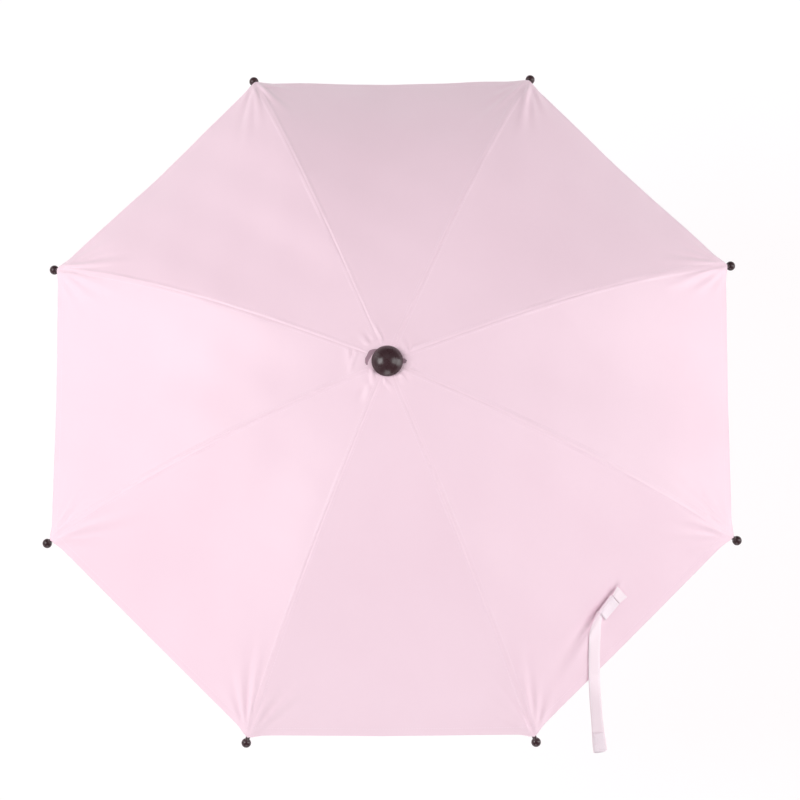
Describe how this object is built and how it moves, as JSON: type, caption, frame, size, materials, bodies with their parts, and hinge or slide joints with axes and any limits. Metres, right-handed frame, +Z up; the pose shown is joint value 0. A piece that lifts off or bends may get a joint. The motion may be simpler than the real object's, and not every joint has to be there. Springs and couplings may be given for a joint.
{
  "type": "parasol",
  "caption": "Small round stick parasol with a plain domed cloth canopy, ball tips, a low domed cap, a tie strap, a folding rib frame on a sliding runner, and a straight grip.",
  "frame": {"origin": "middle of the straight part of the handle's grip, on the shaft axis", "axes": "+Z up the shaft towards the cap; -Y is the side where the tie strap points, seen at right front; ribs at 22.5 degrees from +X and every 45 degrees"},
  "size_m": [0.7024, 0.7024, 0.5423],
  "materials": {
    "canopy_cloth": "plain woven polyester, pale pink, soft satin sheen",
    "strap_cloth": "folded and stitched canopy cloth",
    "hook_tape": "pale hook tape",
    "dark_plastic": "moulded dark brown plastic, glossy",
    "grip_plastic": "dark brown grip, fine matt grain",
    "shaft_tube": "drawn tube, bright",
    "frame_steel": "zinc plated, folded strip and wire",
    "glass_fibre": "pultruded glass fibre, off-white"
  },
  "bodies": {
    "root": {"shaft": "shaft_tube", "cap": "dark_plastic", "crown_washer": "dark_plastic", "notch": "dark_plastic", "notch_wire": "frame_steel", "stop_pin": "frame_steel", "handle": "grip_plastic"},
    "runner": {"runner": "dark_plastic"},
    "upper_catch": {"upper_catch": "frame_steel"},
    "lower_catch": {"lower_catch": "frame_steel"},
    "rib_1": {"rib_1": "frame_steel", "rivet_1": "frame_steel", "gore_1": "canopy_cloth"},
    "rib_rod_1": {"rib_rod_1": "glass_fibre", "tip_1": "dark_plastic"},
    "stretcher_1": {"stretcher_1": "frame_steel"},
    "rib_2": {"rib_2": "frame_steel", "rivet_2": "frame_steel", "gore_2": "canopy_cloth"},
    "rib_rod_2": {"rib_rod_2": "glass_fibre", "tip_2": "dark_plastic"},
    "stretcher_2": {"stretcher_2": "frame_steel"},
    "rib_3": {"rib_3": "frame_steel", "rivet_3": "frame_steel", "gore_3": "canopy_cloth"},
    "rib_rod_3": {"rib_rod_3": "glass_fibre", "tip_3": "dark_plastic"},
    "stretcher_3": {"stretcher_3": "frame_steel"},
    "rib_4": {"rib_4": "frame_steel", "rivet_4": "frame_steel", "gore_4": "canopy_cloth"},
    "rib_rod_4": {"rib_rod_4": "glass_fibre", "tip_4": "dark_plastic"},
    "stretcher_4": {"stretcher_4": "frame_steel"},
    "rib_5": {"rib_5": "frame_steel", "rivet_5": "frame_steel", "gore_5": "canopy_cloth"},
    "rib_rod_5": {"rib_rod_5": "glass_fibre", "tip_5": "dark_plastic"},
    "stretcher_5": {"stretcher_5": "frame_steel"},
    "rib_6": {"rib_6": "frame_steel", "rivet_6": "frame_steel", "gore_6": "canopy_cloth"},
    "rib_rod_6": {"rib_rod_6": "glass_fibre", "tip_6": "dark_plastic"},
    "stretcher_6": {"stretcher_6": "frame_steel"},
    "rib_7": {"rib_7": "frame_steel", "rivet_7": "frame_steel", "gore_7": "canopy_cloth", "tie_strap": "strap_cloth", "hook_patch": "hook_tape"},
    "rib_rod_7": {"rib_rod_7": "glass_fibre", "tip_7": "dark_plastic"},
    "stretcher_7": {"stretcher_7": "frame_steel"},
    "rib_8": {"rib_8": "frame_steel", "rivet_8": "frame_steel", "gore_8": "canopy_cloth"},
    "rib_rod_8": {"rib_rod_8": "glass_fibre", "tip_8": "dark_plastic"},
    "stretcher_8": {"stretcher_8": "frame_steel"}
  },
  "joints": [
    {"name": "runner_slide", "type": "slide", "parent": "root", "child": "runner", "axis": [0, 0, -1], "range_m": [0, 0.22679], "deforming": ["gore_1", "gore_2", "gore_3", "gore_4", "gore_5", "gore_6", "gore_7", "gore_8", "tie_strap", "hook_patch", "upper_catch", "lower_catch"]},
    {"name": "upper_catch_press", "type": "slide", "parent": "root", "child": "upper_catch", "axis": [-1, 0, 0], "range_m": [0, 0.0025], "stiffness_N_per_m": 200, "springref_m": -0.004},
    {"name": "lower_catch_press", "type": "slide", "parent": "root", "child": "lower_catch", "axis": [-1, 0, 0], "range_m": [0, 0.0025], "stiffness_N_per_m": 200, "springref_m": -0.004},
    {"name": "rib_1_hinge", "type": "hinge", "parent": "root", "child": "rib_1", "pos_m": [0.01016, 0.00421, 0.485], "axis": [-0.3827, 0.9239, 0], "range_deg": [0, 78.36]},
    {"name": "rib_1_bend", "type": "hinge", "parent": "rib_1", "child": "rib_rod_1", "pos_m": [0.15596, 0.0646, 0.45859], "axis": [-0.3827, 0.9239, 0], "range_deg": [-20.66, 0]},
    {"name": "stretcher_1_hinge", "type": "hinge", "parent": "rib_1", "child": "stretcher_1", "pos_m": [0.15596, 0.0646, 0.45859], "axis": [-0.3827, 0.9239, 0], "range_deg": [-137.7, 0]},
    {"name": "rib_2_hinge", "type": "hinge", "parent": "root", "child": "rib_2", "pos_m": [0.00421, 0.01016, 0.485], "axis": [-0.9239, 0.3827, 0], "range_deg": [0, 78.36]},
    {"name": "rib_2_bend", "type": "hinge", "parent": "rib_2", "child": "rib_rod_2", "pos_m": [0.0646, 0.15596, 0.45859], "axis": [-0.9239, 0.3827, 0], "range_deg": [-20.66, 0]},
    {"name": "stretcher_2_hinge", "type": "hinge", "parent": "rib_2", "child": "stretcher_2", "pos_m": [0.0646, 0.15596, 0.45859], "axis": [-0.9239, 0.3827, 0], "range_deg": [-137.7, 0]},
    {"name": "rib_3_hinge", "type": "hinge", "parent": "root", "child": "rib_3", "pos_m": [-0.00421, 0.01016, 0.485], "axis": [-0.9239, -0.3827, 0], "range_deg": [0, 78.36]},
    {"name": "rib_3_bend", "type": "hinge", "parent": "rib_3", "child": "rib_rod_3", "pos_m": [-0.0646, 0.15596, 0.45859], "axis": [-0.9239, -0.3827, 0], "range_deg": [-20.66, 0]},
    {"name": "stretcher_3_hinge", "type": "hinge", "parent": "rib_3", "child": "stretcher_3", "pos_m": [-0.0646, 0.15596, 0.45859], "axis": [-0.9239, -0.3827, 0], "range_deg": [-137.7, 0]},
    {"name": "rib_4_hinge", "type": "hinge", "parent": "root", "child": "rib_4", "pos_m": [-0.01016, 0.00421, 0.485], "axis": [-0.3827, -0.9239, 0], "range_deg": [0, 78.36]},
    {"name": "rib_4_bend", "type": "hinge", "parent": "rib_4", "child": "rib_rod_4", "pos_m": [-0.15596, 0.0646, 0.45859], "axis": [-0.3827, -0.9239, 0], "range_deg": [-20.66, 0]},
    {"name": "stretcher_4_hinge", "type": "hinge", "parent": "rib_4", "child": "stretcher_4", "pos_m": [-0.15596, 0.0646, 0.45859], "axis": [-0.3827, -0.9239, 0], "range_deg": [-137.7, 0]},
    {"name": "rib_5_hinge", "type": "hinge", "parent": "root", "child": "rib_5", "pos_m": [-0.01016, -0.00421, 0.485], "axis": [0.3827, -0.9239, 0], "range_deg": [0, 78.36]},
    {"name": "rib_5_bend", "type": "hinge", "parent": "rib_5", "child": "rib_rod_5", "pos_m": [-0.15596, -0.0646, 0.45859], "axis": [0.3827, -0.9239, 0], "range_deg": [-20.66, 0]},
    {"name": "stretcher_5_hinge", "type": "hinge", "parent": "rib_5", "child": "stretcher_5", "pos_m": [-0.15596, -0.0646, 0.45859], "axis": [0.3827, -0.9239, 0], "range_deg": [-137.7, 0]},
    {"name": "rib_6_hinge", "type": "hinge", "parent": "root", "child": "rib_6", "pos_m": [-0.00421, -0.01016, 0.485], "axis": [0.9239, -0.3827, 0], "range_deg": [0, 78.36]},
    {"name": "rib_6_bend", "type": "hinge", "parent": "rib_6", "child": "rib_rod_6", "pos_m": [-0.0646, -0.15596, 0.45859], "axis": [0.9239, -0.3827, 0], "range_deg": [-20.66, 0]},
    {"name": "stretcher_6_hinge", "type": "hinge", "parent": "rib_6", "child": "stretcher_6", "pos_m": [-0.0646, -0.15596, 0.45859], "axis": [0.9239, -0.3827, 0], "range_deg": [-137.7, 0]},
    {"name": "rib_7_hinge", "type": "hinge", "parent": "root", "child": "rib_7", "pos_m": [0.00421, -0.01016, 0.485], "axis": [0.9239, 0.3827, 0], "range_deg": [0, 78.36]},
    {"name": "rib_7_bend", "type": "hinge", "parent": "rib_7", "child": "rib_rod_7", "pos_m": [0.0646, -0.15596, 0.45859], "axis": [0.9239, 0.3827, 0], "range_deg": [-20.66, 0]},
    {"name": "stretcher_7_hinge", "type": "hinge", "parent": "rib_7", "child": "stretcher_7", "pos_m": [0.0646, -0.15596, 0.45859], "axis": [0.9239, 0.3827, 0], "range_deg": [-137.7, 0]},
    {"name": "rib_8_hinge", "type": "hinge", "parent": "root", "child": "rib_8", "pos_m": [0.01016, -0.00421, 0.485], "axis": [0.3827, 0.9239, 0], "range_deg": [0, 78.36]},
    {"name": "rib_8_bend", "type": "hinge", "parent": "rib_8", "child": "rib_rod_8", "pos_m": [0.15596, -0.0646, 0.45859], "axis": [0.3827, 0.9239, 0], "range_deg": [-20.66, 0]},
    {"name": "stretcher_8_hinge", "type": "hinge", "parent": "rib_8", "child": "stretcher_8", "pos_m": [0.15596, -0.0646, 0.45859], "axis": [0.3827, 0.9239, 0], "range_deg": [-137.7, 0]}
  ],
  "couplings": [
    {"joint": "rib_1_hinge", "follows": "runner_slide", "rad_per_m": 6.0296},
    {"joint": "rib_1_bend", "follows": "runner_slide", "rad_per_m": -1.5893},
    {"joint": "stretcher_1_hinge", "follows": "runner_slide", "rad_per_m": -10.596},
    {"joint": "rib_2_hinge", "follows": "runner_slide", "rad_per_m": 6.0296},
    {"joint": "rib_2_bend", "follows": "runner_slide", "rad_per_m": -1.5893},
    {"joint": "stretcher_2_hinge", "follows": "runner_slide", "rad_per_m": -10.596},
    {"joint": "rib_3_hinge", "follows": "runner_slide", "rad_per_m": 6.0296},
    {"joint": "rib_3_bend", "follows": "runner_slide", "rad_per_m": -1.5893},
    {"joint": "stretcher_3_hinge", "follows": "runner_slide", "rad_per_m": -10.596},
    {"joint": "rib_4_hinge", "follows": "runner_slide", "rad_per_m": 6.0296},
    {"joint": "rib_4_bend", "follows": "runner_slide", "rad_per_m": -1.5893},
    {"joint": "stretcher_4_hinge", "follows": "runner_slide", "rad_per_m": -10.596},
    {"joint": "rib_5_hinge", "follows": "runner_slide", "rad_per_m": 6.0296},
    {"joint": "rib_5_bend", "follows": "runner_slide", "rad_per_m": -1.5893},
    {"joint": "stretcher_5_hinge", "follows": "runner_slide", "rad_per_m": -10.596},
    {"joint": "rib_6_hinge", "follows": "runner_slide", "rad_per_m": 6.0296},
    {"joint": "rib_6_bend", "follows": "runner_slide", "rad_per_m": -1.5893},
    {"joint": "stretcher_6_hinge", "follows": "runner_slide", "rad_per_m": -10.596},
    {"joint": "rib_7_hinge", "follows": "runner_slide", "rad_per_m": 6.0296},
    {"joint": "rib_7_bend", "follows": "runner_slide", "rad_per_m": -1.5893},
    {"joint": "stretcher_7_hinge", "follows": "runner_slide", "rad_per_m": -10.596},
    {"joint": "rib_8_hinge", "follows": "runner_slide", "rad_per_m": 6.0296},
    {"joint": "rib_8_bend", "follows": "runner_slide", "rad_per_m": -1.5893},
    {"joint": "stretcher_8_hinge", "follows": "runner_slide", "rad_per_m": -10.596}
  ]
}
